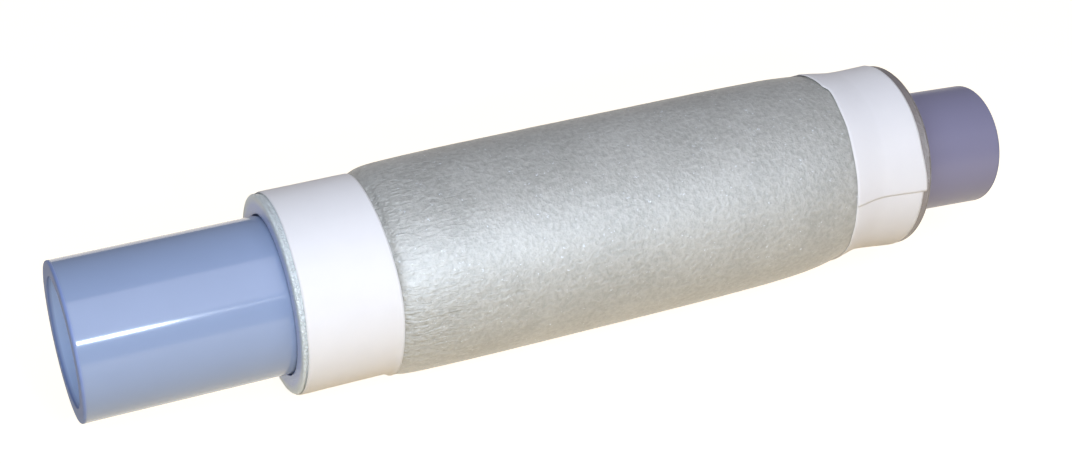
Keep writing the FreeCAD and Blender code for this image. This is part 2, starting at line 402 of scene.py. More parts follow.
@dataclass(frozen=True)
class SoftPvc(Finish):
    """Soft moulded PVC of the hidden hose: matte grey with a fine orange-peel skin.

    Attributes:
        peel: how wide the skin's bumps are, in millimetres
        peel_depth: how deep they are, in millimetres
        peel_strength: how much of that depth shows
        smoother: how much less rough the hollows are
        rougher: how much rougher the crests are
    """

    peel: float = 0.7
    peel_depth: float = 0.05
    peel_strength: float = 0.25
    smoother: float = 0.06
    rougher: float = 0.08

    def build(self) -> bpy.types.Material:
        """Make the material.

        Returns:
            The material.
        """
        material, tree, shader = self.start()
        place = add_node(tree, "ShaderNodeTexCoord")["Object"]
        peel = add_node(tree, "ShaderNodeTexNoise", {
            "Vector": place, "Scale": 1 / (self.peel * MM), "Detail": 2.0})["Fac"]
        relief = add_node(tree, "ShaderNodeBump", {
            "Height": peel, "Strength": self.peel_strength, "Distance": self.peel_depth * MM})
        tree.links.new(relief["Normal"], shader.inputs["Normal"])
        gloss = add_node(tree, "ShaderNodeMapRange", {
            "Value": peel, "To Min": self.roughness - self.smoother, "To Max": self.roughness + self.rougher})
        tree.links.new(gloss[0], shader.inputs["Roughness"])
        return material


@dataclass(frozen=True)
class CellFoam(Finish):
    """Closed-cell polyethylene foam: a leathery moulded skin with a soft sheen, and open cells where it is cut.

    Sizes and depths are in millimetres, places in millimetres along +X and colours sRGB hex.

    Attributes:
        worn_colour: the skin's second tone
        glint_colour: painted highlight, laid on the small places where a cell's skin mirrors the light, and on
            the cell walls of the cut faces
        cut_colour_and_pipe_bounce: the cut faces next to the pipe: the foam's own colour with painted bounce
            light from the blue pipe
        cut_rim_colour: the cut faces at their outer side
        small_rim_colour: the rim at the small end, browner all round
        rubbed_end: where the rubbed strip at the large end ends under its tape
        small_rim_start: where that rim starts under the small tape
        cell: how wide a cell is
        grain: how wide a bump of the skin is
        wrinkle_start: where the skin starts to wrinkle, at the large tape
        wrinkle_reach: how far the wrinkles run
        wrinkle_depth: how deep they are
        grain_depth: how deep the grain is
        patch: how wide the broad patches of tone are
        patch_share: how much they count next to the grain
        tone_range: the pattern's values where the first tone ends and the second is full
        glint: how long a glint is
        glint_gap: how far apart the places with glints lie
        glint_gap_share: how much those places count next to the single crests
        glint_range: the pattern's values where a glint starts and where it is full
        glint_roughness: how matte a glint is
        wall_range: share of a cell in which its wall fades
        wall_height: how far a wall stands out of a cut face
        wall_pale: how pale a wall is painted, a painted highlight, next to the pipe and at the outer side
        rim_range: radii between which a cut face turns to its outer side's colour
        rubbed_fade: the length over which the rubbed strip ends
        small_rim_fade: the length over which the browner rim starts
        wrinkle: how far apart the wrinkles lie
        wrinkle_stretch: their fineness along the sleeve, next to that round it
        wrinkle_bend: how much they wind
        film_roughness: how matte the moulded skin film over the cells is
    """

    worn_colour: str
    glint_colour: str
    cut_colour_and_pipe_bounce: str
    cut_rim_colour: str
    small_rim_colour: str
    rubbed_end: float
    small_rim_start: float
    cell: float
    grain: float
    wrinkle_start: float
    wrinkle_reach: float
    wrinkle_depth: float
    grain_depth: float
    patch: float = 14.0
    patch_share: float = 0.5
    tone_range: tuple[float, float] = (0.57, 0.93)
    glint: float = 0.55
    glint_gap: float = 2.6
    glint_gap_share: float = 0.35
    glint_range: tuple[float, float] = (0.895, 0.98)
    glint_roughness: float = 0.36
    wall_range: tuple[float, float] = (0.02, 0.2)
    wall_height: float = 0.12
    wall_pale: tuple[float, float] = (0.15, 0.6)
    rim_range: tuple[float, float] = (18.2, 19.6)
    rubbed_fade: float = 0.4
    small_rim_fade: float = 1.0
    wrinkle: float = 1.0
    wrinkle_stretch: float = 0.26
    wrinkle_bend: float = 1.1
    film_roughness: float = 0.52

    def build(self) -> bpy.types.Material:
        """Make the material.

        Returns:
            The material.
        """
        material, tree, shader = self.start()
        place = add_node(tree, "ShaderNodeTexCoord")["Object"]
        parts = add_node(tree, "ShaderNodeSeparateXYZ", {"Vector": place})
        # The cut faces, and the strip of rubbed skin between the large end and its tape.
        rubbed = add_node(tree, "ShaderNodeMapRange", {
            "Value": parts["X"], "From Min": self.rubbed_end * MM,
            "From Max": (self.rubbed_end - self.rubbed_fade) * MM})[0]
        sawn = add_node(tree, "ShaderNodeAttribute", attribute_name=CUT_ATTRIBUTE)["Fac"]
        cut = add_node(tree, "ShaderNodeMath", {0: sawn, 1: rubbed}, operation="MAXIMUM")[0]
        grain = add_node(tree, "ShaderNodeTexNoise", {
            "Vector": place, "Scale": 1 / (self.grain * MM), "Detail": 4.0, "Roughness": 0.6})["Fac"]
        cells = add_node(tree, "ShaderNodeTexVoronoi", {
            "Vector": place, "Scale": 1 / (self.cell * MM)}, feature="DISTANCE_TO_EDGE")["Distance"]
        walls = add_node(tree, "ShaderNodeMapRange", {
            "Value": cells, "From Min": self.wall_range[0], "From Max": self.wall_range[1],
            "To Min": 1.0, "To Max": 0.0})[0]
        # Glints are painted highlights in the colour, with a lower roughness as well.
        glint = self.glints(tree, place)
        colour = add_node(tree, "ShaderNodeMix", {
            "Factor": cut, COLOUR_A: self.skin_colour(tree, place, grain, glint),
            COLOUR_B: self.cut_face_colour(tree, parts, walls)}, data_type="RGBA")[MIXED_COLOUR]
        # The rim that stands out of the small tape is browner all round.
        small_rim = add_node(tree, "ShaderNodeMapRange", {
            "Value": parts["X"], "From Min": self.small_rim_start * MM,
            "From Max": (self.small_rim_start + self.small_rim_fade) * MM})[0]
        colour = add_node(tree, "ShaderNodeMix", {
            "Factor": small_rim, COLOUR_A: colour, COLOUR_B: srgb(self.small_rim_colour)},
            data_type="RGBA")[MIXED_COLOUR]
        tree.links.new(colour, shader.inputs["Base Color"])
        height = add_node(tree, "ShaderNodeMix", {
            "Factor": cut, NUMBER_A: self.skin_height(tree, place, parts["X"], grain),
            NUMBER_B: add_node(tree, "ShaderNodeMath", {
                0: walls, 1: self.wall_height}, operation="MULTIPLY")[0]}, data_type="FLOAT")[MIXED_NUMBER]
        relief = add_node(tree, "ShaderNodeBump", {"Height": height, "Distance": MM})
        tree.links.new(relief["Normal"], shader.inputs["Normal"])
        gloss = add_node(tree, "ShaderNodeMapRange", {
            "Value": glint, "To Min": self.roughness, "To Max": self.glint_roughness})[0]
        tree.links.new(gloss, shader.inputs["Roughness"])
        # The moulded skin film over the cells.
        shader.inputs["Coat Weight"].default_value = 1.0
        shader.inputs["Coat Roughness"].default_value = self.film_roughness
        return material

    def glints(self, tree: Tree, place: Socket) -> Socket:
        """Scatter glints, painted highlights that also get a lower roughness: the crests of single cells, each
        a short dash, and only here and there.

        Args:
            tree: the material's node tree
            place: the socket with the point

        Returns:
            The socket with how much of a glint a point is.
        """
        crests = add_node(tree, "ShaderNodeTexNoise", {
            "Vector": place, "Scale": 1 / (self.glint * MM), "Detail": 1.0, "Distortion": 0.6})["Fac"]
        here = add_node(tree, "ShaderNodeTexNoise", {
            "Vector": place, "Scale": 1 / (self.glint_gap * MM), "Detail": 2.0})["Fac"]
        summed = add_node(tree, "ShaderNodeMath", {
            0: here, 1: self.glint_gap_share, 2: crests}, operation="MULTIPLY_ADD")[0]
        return add_node(tree, "ShaderNodeMapRange", {
            "Value": summed, "From Min": self.glint_range[0], "From Max": self.glint_range[1]})[0]

    def skin_colour(self, tree: Tree, place: Socket, grain: Socket, glint: Socket) -> Socket:
        """Colour the skin: broad patches, a fine mottle as large as the grain, and the glints, which are
        painted highlights.

        Args:
            tree: the material's node tree
            place: the socket with the point
            grain: the socket with the grain
            glint: the socket with how much of a glint a point is

        Returns:
            The socket with the colour.
        """
        patches = add_node(tree, "ShaderNodeTexNoise", {
            "Vector": place, "Scale": 1 / (self.patch * MM), "Detail": 3.0})["Fac"]
        tone = add_node(tree, "ShaderNodeMath", {
            0: patches, 1: self.patch_share, 2: grain}, operation="MULTIPLY_ADD")[0]
        tone = add_node(tree, "ShaderNodeMapRange", {
            "Value": tone, "From Min": self.tone_range[0], "From Max": self.tone_range[1]})[0]
        skin = add_node(tree, "ShaderNodeMix", {
            "Factor": tone, COLOUR_A: srgb(self.colour), COLOUR_B: srgb(self.worn_colour)},
            data_type="RGBA")[MIXED_COLOUR]
        # Painted highlight: the glint colour laid over the skin.
        return add_node(tree, "ShaderNodeMix", {
            "Factor": glint, COLOUR_A: skin, COLOUR_B: srgb(self.glint_colour)},
            data_type="RGBA")[MIXED_COLOUR]

    def cut_face_colour(self, tree: Tree, parts: Any, walls: Socket) -> Socket:
        """Colour the cut faces: the walls of the open cells stand pale between darker hollows, a painted
        highlight on the walls and painted shade in the hollows; next to the pipe the colour carries painted
        bounce light from the pipe.

        Args:
            tree: the material's node tree
            parts: the sockets with the point's X, Y and Z
            walls: the socket with how much of a cell's wall a point is

        Returns:
            The socket with the colour.
        """
        # Next to the pipe the cut face takes painted bounce light from the pipe; at its outer side it has the
        # foam's cut colour.
        outer_side = add_node(tree, "ShaderNodeMapRange", {
            "Value": distance_from_axis(tree, parts), "From Min": self.rim_range[0] * MM,
            "From Max": self.rim_range[1] * MM})[0]
        hollows = add_node(tree, "ShaderNodeMix", {
            "Factor": outer_side, COLOUR_A: srgb(self.cut_colour_and_pipe_bounce), COLOUR_B: srgb(self.cut_rim_colour)},
            data_type="RGBA")[MIXED_COLOUR]
        # Painted highlight on the cell walls; the hollows keep the darker colour as painted shade.
        pale = add_node(tree, "ShaderNodeMapRange", {
            "Value": outer_side, "To Min": self.wall_pale[0], "To Max": self.wall_pale[1]})[0]
        pale = add_node(tree, "ShaderNodeMath", {0: walls, 1: pale}, operation="MULTIPLY")[0]
        return add_node(tree, "ShaderNodeMix", {
            "Factor": pale, COLOUR_A: hollows, COLOUR_B: srgb(self.glint_colour)},
            data_type="RGBA")[MIXED_COLOUR]

    def skin_height(self, tree: Tree, place: Socket, along: Socket, grain: Socket) -> Socket:
        """Give the skin's height: its leathery grain, and wrinkles that run out from the large tape.

        Args:
            tree: the material's node tree
            place: the socket with the point
            along: the socket with the point's X
            grain: the socket with the grain

        Returns:
            The socket with the height in millimetres.
        """
        leather = add_node(tree, "ShaderNodeMath", {0: grain, 1: self.grain_depth}, operation="MULTIPLY")[0]
        stretched = add_node(tree, "ShaderNodeMapping", {
            "Vector": place, "Scale": (self.wrinkle_stretch, 1.0, 1.0)})["Vector"]
        wrinkles = add_node(tree, "ShaderNodeTexNoise", {
            "Vector": stretched, "Scale": 1 / (self.wrinkle * MM), "Detail": 2.0,
            "Distortion": self.wrinkle_bend})["Fac"]
        fading = add_node(tree, "ShaderNodeMapRange", {
            "Value": along, "From Min": self.wrinkle_start * MM,
            "From Max": (self.wrinkle_start + self.wrinkle_reach) * MM,
            "To Min": self.wrinkle_depth, "To Max": 0.0}, interpolation_type="SMOOTHSTEP")[0]
        return add_node(tree, "ShaderNodeMath", {
            0: wrinkles, 1: fading, 2: leather}, operation="MULTIPLY_ADD")[0]


@dataclass(frozen=True)
class PlasticTape(Finish):
    """White pressure-sensitive PVC tape: smooth satin film, drawn tight, with faint stretch marks round it.

    Attributes:
        wave: how wide the low waves are in which the foam's softness shows through, in millimetres
        painted_wave_shade: painted shade: how bright the film is on a wave's other side, next to its colour
        mark: how far apart the stretch marks lie across the tape, in millimetres
        mark_stretch: their fineness round the tube, next to that across the tape
        mark_share: how high the marks are next to the waves
        relief_depth: how deep waves and marks are, in millimetres
        relief_strength: how much of that depth shows
        seen_through: how much of the light goes into the film
        seen_depth: how deep it goes, in millimetres
    """

    wave: float = 5.0
    painted_wave_shade: float = 0.96
    mark: float = 1.2
    mark_stretch: float = 0.08
    mark_share: float = 0.12
    relief_depth: float = 0.15
    relief_strength: float = 0.35
    seen_through: float = 0.1
    seen_depth: float = 0.6

    def build(self) -> bpy.types.Material:
        """Make the material.

        Returns:
            The material.
        """
        material, tree, shader = self.start()
        place = add_node(tree, "ShaderNodeTexCoord")["Object"]
        waves = add_node(tree, "ShaderNodeTexNoise", {
            "Vector": place, "Scale": 1 / (self.wave * MM), "Detail": 2.0})["Fac"]
        stretched = add_node(tree, "ShaderNodeMapping", {
            "Vector": place, "Scale": (1.0, self.mark_stretch, self.mark_stretch)})["Vector"]
        marks = add_node(tree, "ShaderNodeTexNoise", {
            "Vector": stretched, "Scale": 1 / (self.mark * MM), "Detail": 2.0})["Fac"]
        height = add_node(tree, "ShaderNodeMath", {
            0: marks, 1: self.mark_share, 2: waves}, operation="MULTIPLY_ADD")[0]
        relief = add_node(tree, "ShaderNodeBump", {
            "Height": height, "Strength": self.relief_strength, "Distance": self.relief_depth * MM})
        tree.links.new(relief["Normal"], shader.inputs["Normal"])
        # Painted shade: the film is a little darker on one side of each wave.
        shade = add_node(tree, "ShaderNodeMix", {
            "Factor": waves, COLOUR_A: srgb(self.colour), COLOUR_B: srgb(self.colour, self.painted_wave_shade)},
            data_type="RGBA")[MIXED_COLOUR]
        tree.links.new(shade, shader.inputs["Base Color"])
        shader.inputs["Subsurface Weight"].default_value = self.seen_through
        shader.inputs["Subsurface Radius"].default_value = (1.0, 1.0, 1.0)
        shader.inputs["Subsurface Scale"].default_value = self.seen_depth * MM
        return material


@dataclass(frozen=True)
class PaperFloor(Finish):
    """Matte cream paper under the part: it warms the part's underside, and the camera sees it as white.

    Attributes:
        glow: how much light the paper adds where the camera, a mirror or a clear thing shows it
    """

    glow: float

    def build(self) -> bpy.types.Material:
        """Make the material.

        Returns:
            The material.
        """
        material, tree, shader = self.start()
        rays = add_node(tree, "ShaderNodeLightPath")
        seen = add_node(tree, "ShaderNodeMath", {
            0: rays["Is Camera Ray"], 1: rays["Is Glossy Ray"]}, operation="MAXIMUM")[0]
        seen = add_node(tree, "ShaderNodeMath", {
            0: seen, 1: rays["Is Transmission Ray"]}, operation="MAXIMUM")[0]
        strength = add_node(tree, "ShaderNodeMath", {0: seen, 1: self.glow}, operation="MULTIPLY")[0]
        shader.inputs["Emission Color"].default_value = srgb("#FFFFFF")
        tree.links.new(strength, shader.inputs["Emission Strength"])
        return material


# The bore colours are painted light and shade: lighter than the skin in the large pipe, darker in the small
# one.
LARGE_PVC = RigidPvc(
    name="rigid_pvc_pale_blue_grey", colour="#92A2BF", roughness=0.12, ior=1.53,
    sawn_colour="#8092C0", painted_bore_colour="#C6DAFA", bore_radius=12.9)
SMALL_PVC = RigidPvc(
    name="rigid_pvc_purple_grey", colour="#89869E", roughness=0.36, ior=1.53,
    sawn_colour="#85879F", painted_bore_colour="#767AA6", bore_radius=10.3, pointing_down=OUTLINE.tilt,
    crossing=OUTLINE.crossing)
HOSE_PVC = SoftPvc(name="soft_pvc_matte_grey", colour="#6F7380", roughness=0.55, ior=1.5)
FOAM = CellFoam(
    name="closed_cell_polyethylene_foam", colour="#A2A199", worn_colour="#BCBBB3", roughness=0.5, ior=1.5,
    glint_colour="#DDE2E5", cut_colour_and_pipe_bounce="#BCCAF0", cut_rim_colour="#DDE6E4", small_rim_colour="#857C77",
    rubbed_end=44.0, small_rim_start=176.0, cell=0.6, grain=1.0, wrinkle_start=OUTLINE.band_end,
    wrinkle_reach=30.0, wrinkle_depth=0.45, grain_depth=0.36)
TAPE = PlasticTape(name="white_pvc_tape_satin", colour="#F4F2F0", roughness=0.6, ior=1.5)
PAPER = PaperFloor(name="matte_cream_paper", colour="#C9AE78", roughness=0.9, ior=1.45, glow=0.88)


# Round bodies, turned from a row of cross-sections by one tree of geometry nodes


@dataclass
class RoundBody:
    """Turns a closed row of cross-sections into a closed solid skin.

    Attributes:
        around: how many steps go once round
        relief: how deep the skin's own unevenness goes, in millimetres
        relief_size: how wide that unevenness is, in millimetres
        wrinkle: how deep the wrinkles next to the large tape go, in millimetres
        wrinkle_from: where along +X they start, in millimetres
        wrinkle_reach: how far they run, in millimetres
        lying_height: height of the axis over the flat that the body lies on, in millimetres, or more for none
        seed: which unevenness is taken
        tree: the node tree, made when the first body is turned
    """

    around: int = 192
    relief: float = 0.0
    relief_size: float = 3.0
    wrinkle: float = 0.0
    wrinkle_from: float = 61.0
    wrinkle_reach: float = 26.0
    lying_height: float = 1000.0
    seed: float = 4.0
    tree: Optional[Tree] = field(default=None, init=False)

    # How wide a wrinkle is in millimetres, its fineness along the body next to that round it, and the distance
    # in metres within which the first and last column become one.
    RIDGE = 2.6
    RIDGE_STRETCH = 0.14
    MERGED_WITHIN = 1e-6
    SOCKETS = (
        ("Sections", "NodeSocketInt"), ("Around", "NodeSocketInt"), ("Relief", "NodeSocketFloat"),
        ("Relief Size", "NodeSocketFloat"), ("Wrinkle", "NodeSocketFloat"), ("Wrinkle From", "NodeSocketFloat"),
        ("Wrinkle Reach", "NodeSocketFloat"), ("Lying Height", "NodeSocketFloat"),
        ("Seed", "NodeSocketFloat"), ("Finish", "NodeSocketMaterial"))

    def make_tree(self) -> Tree:
        """Build the tree: a grid whose rows are the cross-sections and whose columns go round.

        Returns:
            The tree.
        """
        tree = bpy.data.node_groups.new("turned_round_body", "GeometryNodeTree")
        tree.interface.new_socket(name="Sections Row", in_out="INPUT", socket_type="NodeSocketGeometry")
        for name, kind in self.SOCKETS:
            tree.interface.new_socket(name=name, in_out="INPUT", socket_type=kind)
        tree.interface.new_socket(name="Body", in_out="OUTPUT", socket_type="NodeSocketGeometry")
        given = add_node(tree, "NodeGroupInput")
        columns = add_node(tree, "ShaderNodeMath", {0: given["Around"], 1: 1.0}, operation="ADD")[0]
        grid = add_node(tree, "GeometryNodeMeshGrid", {
            "Vertices X": columns, "Vertices Y": given["Sections"]})["Mesh"]
        # A grid point's number gives its column, and so its angle, and its row, and so its cross-section.
        index = add_node(tree, "GeometryNodeInputIndex")[0]
        column = add_node(tree, "FunctionNodeIntegerMath", {
            0: index, 1: given["Sections"]}, operation="DIVIDE_FLOOR")[0]
        row = add_node(tree, "FunctionNodeIntegerMath", {
            0: index, 1: given["Sections"]}, operation="MODULO")[0]
        share = add_node(tree, "ShaderNodeMath", {0: column, 1: given["Around"]}, operation="DIVIDE")[0]
        angle = add_node(tree, "ShaderNodeMath", {0: share, 1: math.tau}, operation="MULTIPLY")[0]
        read = {}
        for name in (LEAN_ATTRIBUTE, CUT_ATTRIBUTE):
            number = add_node(tree, "GeometryNodeInputNamedAttribute", {"Name": name}, data_type="FLOAT")
            read[name] = add_node(tree, "GeometryNodeSampleIndex", {
                "Geometry": given["Sections Row"], "Value": number[0], "Index": row},
                data_type="FLOAT")[0]
        position = add_node(tree, "GeometryNodeInputPosition")[0]
        section = add_node(tree, "GeometryNodeSampleIndex", {
            "Geometry": given["Sections Row"], "Value": position, "Index": row},
            data_type="FLOAT_VECTOR")[0]
        section = add_node(tree, "ShaderNodeSeparateXYZ", {"Vector": section})
        # The way outwards: turned round the axis from straight down, then leaned with the cross-section.
        upwards = add_node(tree, "ShaderNodeCombineXYZ", {
            "X": 0.0,
            "Y": add_node(tree, "ShaderNodeMath", {0: angle}, operation="SINE")[0],
            "Z": add_node(tree, "ShaderNodeMath", {
                0: add_node(tree, "ShaderNodeMath", {0: angle}, operation="COSINE")[0], 1: -1.0},
                operation="MULTIPLY")[0]})[0]
        outward = add_node(tree, "ShaderNodeVectorRotate", {
            "Vector": upwards, "Angle": read[LEAN_ATTRIBUTE]}, rotation_type="Y_AXIS")[0]
        middle = add_node(tree, "ShaderNodeCombineXYZ", {
            "X": section["X"], "Y": 0.0, "Z": section["Z"]})[0]
        skin = add_node(tree, "ShaderNodeVectorMath", {
            0: outward, 1: section["Y"], 2: middle}, operation="MULTIPLY_ADD")[0]
        # The skin's own unevenness and, next to the large tape, its wrinkles. Cut faces have neither.
        shifted = add_node(tree, "ShaderNodeVectorMath", {0: skin, 1: given["Seed"]}, operation="ADD")[0]
        fineness = add_node(tree, "ShaderNodeMath", {
            0: 1.0, 1: given["Relief Size"]}, operation="DIVIDE")[0]
        uneven = add_node(tree, "ShaderNodeTexNoise", {
            "Vector": shifted, "Scale": fineness, "Detail": 2.0})["Fac"]
        drawn_out = add_node(tree, "ShaderNodeVectorMath", {
            0: shifted, 1: (self.RIDGE_STRETCH, 1.0, 1.0)}, operation="MULTIPLY")[0]
        ridges = add_node(tree, "ShaderNodeTexNoise", {
            "Vector": drawn_out, "Scale": 1 / (self.RIDGE * MM), "Detail": 1.5})["Fac"]
        reach = add_node(tree, "ShaderNodeMath", {
            0: given["Wrinkle From"], 1: given["Wrinkle Reach"]}, operation="ADD")[0]
        fading = add_node(tree, "ShaderNodeMapRange", {
            "Value": section["X"], "From Min": given["Wrinkle From"], "From Max": reach,
            "To Min": given["Wrinkle"], "To Max": 0.0}, interpolation_type="SMOOTHSTEP")[0]
        depth = add_node(tree, "ShaderNodeMath", {
            0: uneven, 1: given["Relief"]}, operation="MULTIPLY")[0]
        depth = add_node(tree, "ShaderNodeMath", {
            0: ridges, 1: fading, 2: depth}, operation="MULTIPLY_ADD")[0]
        inwards = add_node(tree, "ShaderNodeMath", {0: read[CUT_ATTRIBUTE], 1: 1.0}, operation="SUBTRACT")[0]
        depth = add_node(tree, "ShaderNodeMath", {0: depth, 1: inwards}, operation="MULTIPLY")[0]
        skin = add_node(tree, "ShaderNodeVectorMath", {
            0: outward, 1: depth, 2: skin}, operation="MULTIPLY_ADD")[0]
        # Nothing is lower than what the body lies on.
        parts = add_node(tree, "ShaderNodeSeparateXYZ", {"Vector": skin})
        lowest = add_node(tree, "ShaderNodeMath", {
            0: given["Lying Height"], 1: -1.0}, operation="MULTIPLY")[0]
        height = add_node(tree, "ShaderNodeMath", {0: parts["Z"], 1: lowest}, operation="MAXIMUM")[0]
        resting = add_node(tree, "ShaderNodeCombineXYZ", {
            "X": parts["X"], "Y": parts["Y"], "Z": height})[0]
        body = add_node(tree, "GeometryNodeSetPosition", {"Geometry": grid, "Position": resting})[0]
        body = add_node(tree, "GeometryNodeStoreNamedAttribute", {
            "Geometry": body, "Name": CUT_ATTRIBUTE, "Value": read[CUT_ATTRIBUTE]}, data_type="FLOAT",
            domain="POINT")[0]
        body = add_node(tree, "GeometryNodeMergeByDistance", {
            "Geometry": body, "Distance": self.MERGED_WITHIN})[0]
        body = add_node(tree, "GeometryNodeRealizeInstances", {"Geometry": body})[0]
        body = add_node(tree, "GeometryNodeSetMaterial", {
            "Geometry": body, "Material": given["Finish"]})[0]
        add_node(tree, "NodeGroupOutput", {"Body": body})
        return tree

    def turn(self, name: str, stations: list[Station], finish: bpy.types.Material) -> bpy.types.Object:
        """Turn the cross-sections into a closed mesh.

        Args:
            name: the piece's name
            stations: a closed row, outside from small x to large x and back through the bore
            finish: the material that it gets

        Returns:
            The piece, a plain mesh at the origin.
        """
        row = bpy.data.meshes.new(f"{name}_sections")
        row.from_pydata([(each.x * MM, each.radius * MM, each.rise * MM) for each in stations], [], [])
        for attribute, values in (
                (LEAN_ATTRIBUTE, [math.radians(each.lean) for each in stations]),
                (CUT_ATTRIBUTE, [each.surface.value for each in stations])):
            row.attributes.new(attribute, "FLOAT", "POINT").data.foreach_set("value", values)
        source = bpy.data.objects.new(f"{name}_sections", row)
        bpy.context.scene.collection.objects.link(source)
        if self.tree is None:
            self.tree = self.make_tree()
        modifier = source.modifiers.new("turned", "NODES")
        modifier.node_group = self.tree
        values = {
            "Sections": len(stations), "Around": self.around, "Relief": self.relief * MM,
            "Relief Size": self.relief_size * MM, "Wrinkle": self.wrinkle * MM,
            "Wrinkle From": self.wrinkle_from * MM, "Wrinkle Reach": self.wrinkle_reach * MM,
            "Lying Height": self.lying_height * MM, "Seed": self.seed, "Finish": finish}
        for item in self.tree.interface.items_tree:
            if item.in_out == "INPUT" and item.name in values:
                modifier[item.identifier] = values[item.name]
        bpy.context.view_layer.update()
        graph = bpy.context.evaluated_depsgraph_get()
        mesh = bpy.data.meshes.new_from_object(source.evaluated_get(graph))
        mesh.name = name
        source.modifiers.clear()
        bpy.data.objects.remove(source)
        return finish_mesh(name, mesh, finish)


def finish_mesh(name: str, mesh: bpy.types.Mesh, finish: bpy.types.Material) -> bpy.types.Object:
    """Make a mesh a smooth, closed piece that faces outwards, at the origin.

    Args:
        name: the piece's name
        mesh: its mesh
        finish: its material, unless the mesh has one

    Returns:
        The piece.
    """
    shape = bmesh.new()
    shape.from_mesh(mesh)
    bmesh.ops.remove_doubles(shape, verts=shape.verts, dist=DOUBLES_WITHIN)
    bmesh.ops.recalc_face_normals(shape, faces=shape.faces)
    if shape.calc_volume(signed=True) < 0:
        bmesh.ops.reverse_faces(shape, faces=shape.faces)
    for face in shape.faces:
        face.smooth = True
    shape.to_mesh(mesh)
    shape.free()
    if not mesh.materials:
        mesh.materials.append(finish)
    piece = bpy.data.objects.new(name, mesh)
    bpy.context.scene.collection.objects.link(piece)
    return piece


def spaced(start: float, end: float, steps: int) -> list[float]:
    """Give evenly spaced values from start to end, both included."""
    return [start + (end - start) * step / steps for step in range(steps + 1)]


# Pieces


@dataclass
class Pipe:
    """A rigid pipe, cut square, with its sharp edges taken off.

    Attributes:
        node: the solid that it stands for
        outer: outside radius in millimetres
        wall: wall in millimetres
        exposed: length outside the foam in millimetres
        length: whole length in millimetres
        round_outside: radius of the worn outer edge at the free end in millimetres
        on_small_axis: whether it lies on the small pipe's leaning axis
        finish: its finish
        round_inside: radius of the worn edge of the bore in millimetres
        outside_from: where the outside's even cross-sections start, past the edge, in millimetres
        bore_from: the same for the bore
        steps_along: how many steps go along it
        steps_of_edge: how many steps go round a worn edge
    """

    node: str
    outer: float
    wall: float
    exposed: float
    length: float
    round_outside: float
    on_small_axis: bool
    finish: RigidPvc
    round_inside: float = 0.25
    outside_from: float = 0.8
    bore_from: float = 1.0
    steps_along: int = 40
    steps_of_edge: int = 6

    def station(self, from_free_end: float, radius: float, surface: Surface) -> Station:
        """Give a cross-section at a distance from the free end.

        Args:
            from_free_end: the distance, in millimetres
            radius: its radius
            surface: skin or cut

        Returns:
            The cross-section.
        """
        if self.on_small_axis:
            return OUTLINE.on_small_axis(from_free_end - self.exposed, radius, surface)
        return Station(from_free_end, 0.0, 0.0, radius, surface)

    def sections(self) -> list[Station]:
        """Give the pipe's cross-sections: outside, inner end, bore and free end with rounded edges.

        Returns:
            The closed row.
        """
        inner, edge = self.outer - self.wall, self.round_inside
        arc = [math.radians(angle) for angle in spaced(0, 90, self.steps_of_edge)]
        rounded = [
            (self.round_outside * (1 - math.sin(turn)), self.outer - self.round_outside * (1 - math.cos(turn)))
            for turn in reversed(arc)]
        outside = [(place, self.outer) for place in spaced(self.outside_from, self.length, self.steps_along)]
        bore = [(place, inner) for place in spaced(self.length, self.bore_from, self.steps_along)]
        lip = [(edge * (1 - math.cos(turn)), inner + edge * (1 - math.sin(turn))) for turn in reversed(arc)]
        face = [(0.0, (inner + edge + self.outer - self.round_outside) / 2)]
        skin = [self.station(place, radius, Surface.SKIN) for place, radius in outside + bore]
        sawn = [self.station(place, radius, Surface.CUT) for place, radius in lip + face + rounded]
        return skin + sawn + skin[:1]

    def build(self, bodies: RoundBody) -> bpy.types.Object:
        """Make the pipe and put it in the solid's place.

        Args:
            bodies: what turns cross-sections into a mesh

        Returns:
            The piece.
        """
        piece = bodies.turn(f"{self.node}_look", self.sections(), self.finish.build())
        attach(piece, BODY)
        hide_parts(self.node)
        return piece


@dataclass
class ReducingHose:
    """The hidden hose, whose solid is shown as it is, with its own finish.

    Attributes:
        node: the solid
        finish: its finish
    """

    node: str = "reducing_hose"
    finish: SoftPvc = HOSE_PVC

    def build(self) -> bpy.types.Object:
        """Dress the solid.

        Returns:
            The solid's own object.
        """
        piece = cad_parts[self.node]
        material = self.finish.build()
        for slot in piece.material_slots:
            slot.material = material
        return piece


